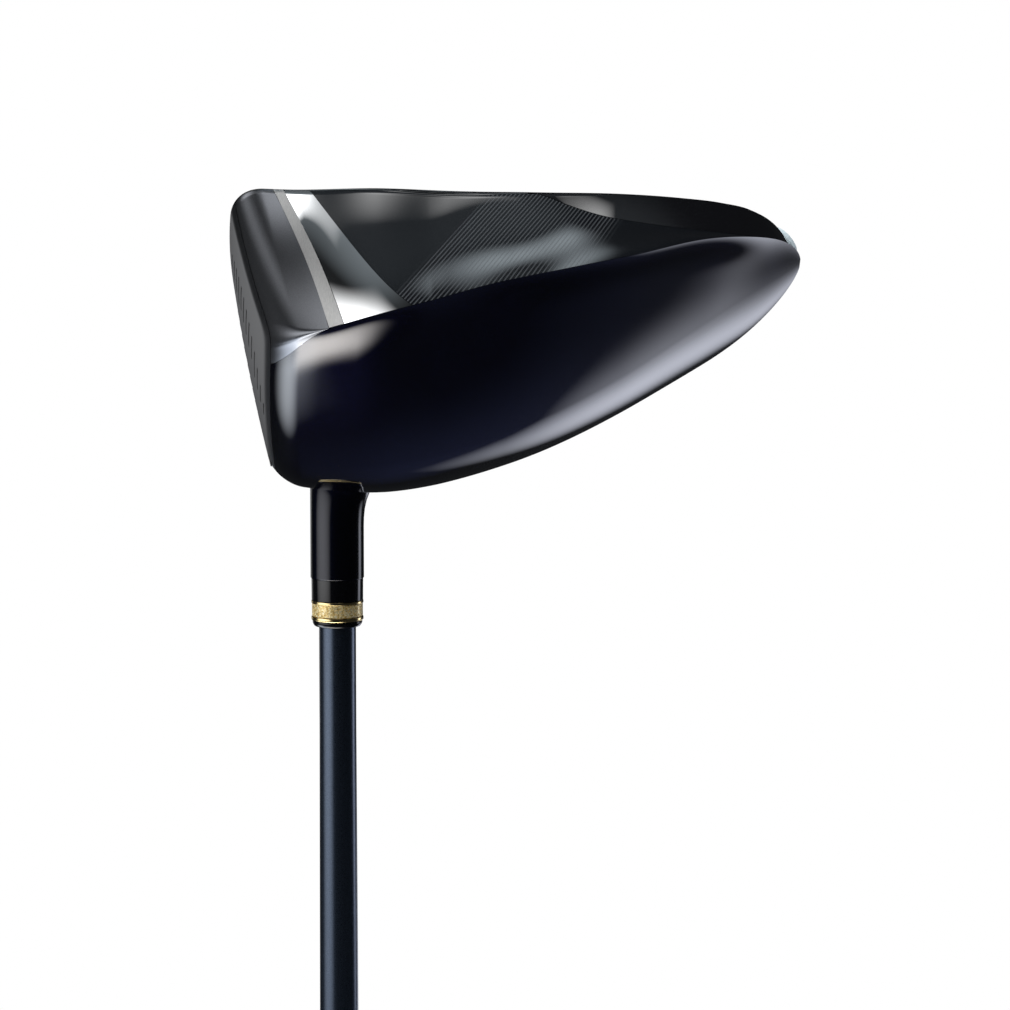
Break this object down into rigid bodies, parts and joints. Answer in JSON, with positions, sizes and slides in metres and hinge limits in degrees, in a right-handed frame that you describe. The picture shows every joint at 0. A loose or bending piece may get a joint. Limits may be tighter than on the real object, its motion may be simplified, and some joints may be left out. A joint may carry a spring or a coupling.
{
  "type": "golf driver",
  "caption": "Right-handed golf driver: large hollow head with a glossy dark crown, mirror and lined toe trim, gold-ringed ferrule, tapered shaft and rubber grip.",
  "frame": {"origin": "centre of the butt end of the grip, on the shaft axis", "axes": "+Z along the shaft from the butt to the head, -X the way the striking face looks, -Y towards the toe"},
  "size_m": [0.1235, 0.1289, 1.2002],
  "materials": {
    "crown": "deep navy high gloss lacquer",
    "face": "dark satin titanium",
    "strip": "fine brushed, bare metal",
    "inlay": "mirror polished",
    "panel": "black gloss with fine diagonal lines",
    "trim": "black gloss",
    "rail": "black gloss",
    "sole": "black gloss",
    "hosel": "black navy gloss lacquer",
    "port": "dark anodised",
    "weight": "pale blue grey satin",
    "screw": "polished steel",
    "inner_metal": "bare cast titanium",
    "ferrule": "black gloss",
    "gold": "polished",
    "gold_glitter": "coarse metal flake",
    "shaft": "dark navy satin metallic over carbon composite",
    "plug": "cork-coloured plug",
    "tape": "paper tape",
    "grip": "matt textured rubber"
  },
  "bodies": {
    "club": {"crown_shell": "crown", "face_cup": "face", "toe_return": "face", "toe_strip": "strip", "toe_inlay": "inlay", "toe_panel": "panel", "toe_trim": "trim", "toe_rail": "rail", "sole_plate": "sole", "heel_return": "face", "heel_panel": "panel", "hosel": "hosel", "weight_port": "port", "face_pad": "inner_metal", "sole_rib_front": "inner_metal", "sole_rib_rear": "inner_metal", "crown_rib": "inner_metal", "hosel_plug": "inner_metal", "ferrule_body": "ferrule", "ferrule_rim_upper": "gold", "ferrule_band": "gold_glitter", "ferrule_rim_lower": "gold", "ferrule_end": "ferrule", "shaft": "shaft", "tip_plug": "plug", "under_tape": "tape", "grip_sleeve": "grip", "grip_cap": "grip"},
    "weight": {"rear_weight": "weight"},
    "screw": {"weight_screw": "screw"}
  },
  "joints": [
    {"name": "weight_lift", "type": "slide", "parent": "club", "child": "weight", "axis": [0.7314, 0.3461, 0.5876], "range_m": [0, 0.0022]},
    {"name": "screw_turn", "type": "hinge", "parent": "weight", "child": "screw", "pos_m": [0.0993, -0.0477, 1.18742], "axis": [-0.7314, -0.3461, -0.5876], "range_deg": [-1584, 0]}
  ],
  "couplings": [
    {"joint": "screw_turn", "follows": "weight_lift", "rad_per_m": -12566}
  ]
}
